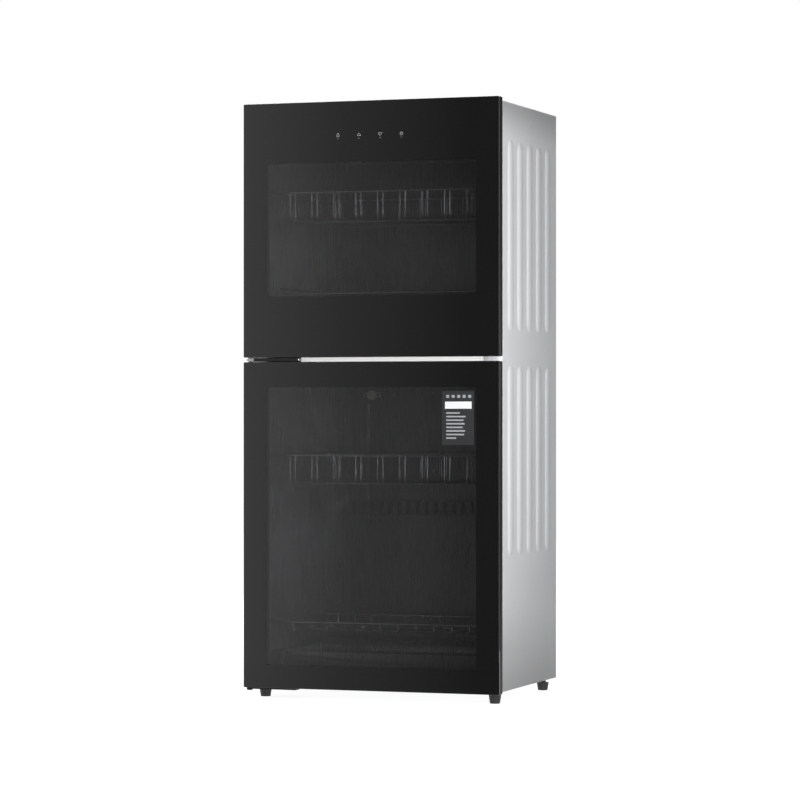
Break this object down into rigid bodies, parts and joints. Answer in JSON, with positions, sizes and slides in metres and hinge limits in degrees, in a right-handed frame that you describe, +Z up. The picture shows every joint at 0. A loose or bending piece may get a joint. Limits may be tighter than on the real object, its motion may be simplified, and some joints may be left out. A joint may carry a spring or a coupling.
{
  "type": "dish sterilizer cabinet",
  "caption": "Upright kitchen sterilizer cabinet with smoked glass doors above each other, ribbed steel sides, pull-out wire racks and steel-lined heated chambers.",
  "frame": {"origin": "centre of the outer box, on the floor under the feet", "axes": "+Z up, -Y out of the glass doors, +X to the right seen from the front"},
  "size_m": [0.43, 0.316, 0.95],
  "materials": {
    "painted_steel": "satin powder coat",
    "white_beam": "satin powder coat",
    "zinc_steel": "galvanised",
    "liner_steel": "brushed stainless steel",
    "smoked_glass": "smoked tempered glass with a black printed border",
    "black_frame": "moulded",
    "seal_rubber": "extruded magnetic seal",
    "chromed_wire": "bright",
    "black_foot": "moulded",
    "mineral_wool": "fibrous",
    "quartz": "clear",
    "ceramic": "glazed ceramic",
    "circuit_board": "solder mask",
    "aluminium": "plain",
    "black_plastic": "moulded",
    "magnet": "sintered",
    "white_plastic": "moulded"
  },
  "bodies": {
    "cabinet": {"side_panel_left": "painted_steel", "side_panel_right": "painted_steel", "top_cover": "painted_steel", "base_pan": "zinc_steel", "back_panel": "zinc_steel", "back_panel_screws": "zinc_steel", "top_front_rail": "white_beam", "middle_front_beam": "white_beam", "bottom_front_rail": "white_beam", "liner_wrap_upper": "liner_steel", "liner_back_upper": "liner_steel", "liner_wrap_lower": "liner_steel", "liner_back_lower": "liner_steel", "insulation_upper": "mineral_wool", "insulation_lower": "mineral_wool", "hinge_bracket_top": "zinc_steel", "hinge_bracket_middle": "zinc_steel", "hinge_bracket_bottom": "black_plastic", "hinge_cover_middle": "black_plastic", "hinge_screws": "zinc_steel", "foot_studs": "zinc_steel", "foot_front_left": "black_foot", "foot_front_right": "black_foot", "foot_back_left": "black_foot", "foot_back_right": "black_foot", "rack_runners_upper": "liner_steel", "rack_runners_lower": "liner_steel", "hot_air_duct": "liner_steel", "liner_screws": "zinc_steel", "temperature_probe": "zinc_steel", "cable_channel": "liner_steel", "thermostat": "ceramic", "quartz_tubes": "quartz", "heater_end_caps": "ceramic", "heater_guard": "liner_steel", "uv_lamp_tube": "quartz", "uv_lamp_holders": "white_plastic", "uv_lamp_guard": "chromed_wire", "fan_housing": "black_plastic", "finned_heater": "aluminium", "power_board": "circuit_board", "cord_gland": "black_plastic", "reed_switches": "white_plastic"},
    "upper_door": {"door_glass_upper": "smoked_glass", "door_frame_upper": "black_frame", "door_gasket_upper": "seal_rubber", "door_magnet_upper": "magnet", "hinge_bushes_upper": "white_plastic", "touch_board": "circuit_board"},
    "lower_door": {"door_glass_lower": "smoked_glass", "door_frame_lower": "black_frame", "door_gasket_lower": "seal_rubber", "door_magnet_lower": "magnet", "hinge_bushes_lower": "white_plastic"},
    "bowl_rack_upper": {"bowl_rack_upper": "chromed_wire"},
    "cup_basket_upper": {"cup_basket_upper": "chromed_wire"},
    "bowl_rack_lower": {"bowl_rack_lower": "chromed_wire"},
    "plate_rack_lower": {"plate_rack_lower": "chromed_wire"},
    "drip_tray": {"drip_tray": "liner_steel"},
    "fan_rotor": {"fan_rotor": "black_plastic"}
  },
  "joints": [
    {"name": "upper_door_hinge", "type": "hinge", "parent": "cabinet", "child": "upper_door", "pos_m": [-0.2085, -0.1475, 0.747], "axis": [0, 0, -1], "range_deg": [0, 110]},
    {"name": "lower_door_hinge", "type": "hinge", "parent": "cabinet", "child": "lower_door", "pos_m": [-0.2085, -0.1475, 0.277], "axis": [0, 0, -1], "range_deg": [0, 110]},
    {"name": "bowl_rack_upper_slide", "type": "slide", "parent": "cabinet", "child": "bowl_rack_upper", "axis": [0, -1, 0], "range_m": [0, 0.12]},
    {"name": "cup_basket_upper_slide", "type": "slide", "parent": "cabinet", "child": "cup_basket_upper", "axis": [0, -1, 0], "range_m": [0, 0.12]},
    {"name": "bowl_rack_lower_slide", "type": "slide", "parent": "cabinet", "child": "bowl_rack_lower", "axis": [0, -1, 0], "range_m": [0, 0.12]},
    {"name": "plate_rack_lower_slide", "type": "slide", "parent": "cabinet", "child": "plate_rack_lower", "axis": [0, -1, 0], "range_m": [0, 0.12]},
    {"name": "drip_tray_slide", "type": "slide", "parent": "cabinet", "child": "drip_tray", "axis": [0, -1, 0], "range_m": [0, 0.12]},
    {"name": "fan_spin", "type": "hinge", "parent": "cabinet", "child": "fan_rotor", "pos_m": [0.06, 0.14, 0.625], "axis": [0, 1, 0], "continuous": true}
  ],
  "couplings": [
    {"joint": "bowl_rack_upper_slide", "follows": "upper_door_hinge", "m_per_rad": 0.062},
    {"joint": "cup_basket_upper_slide", "follows": "upper_door_hinge", "m_per_rad": 0.062},
    {"joint": "bowl_rack_lower_slide", "follows": "lower_door_hinge", "m_per_rad": 0.062},
    {"joint": "plate_rack_lower_slide", "follows": "lower_door_hinge", "m_per_rad": 0.062},
    {"joint": "drip_tray_slide", "follows": "lower_door_hinge", "m_per_rad": 0.062}
  ]
}
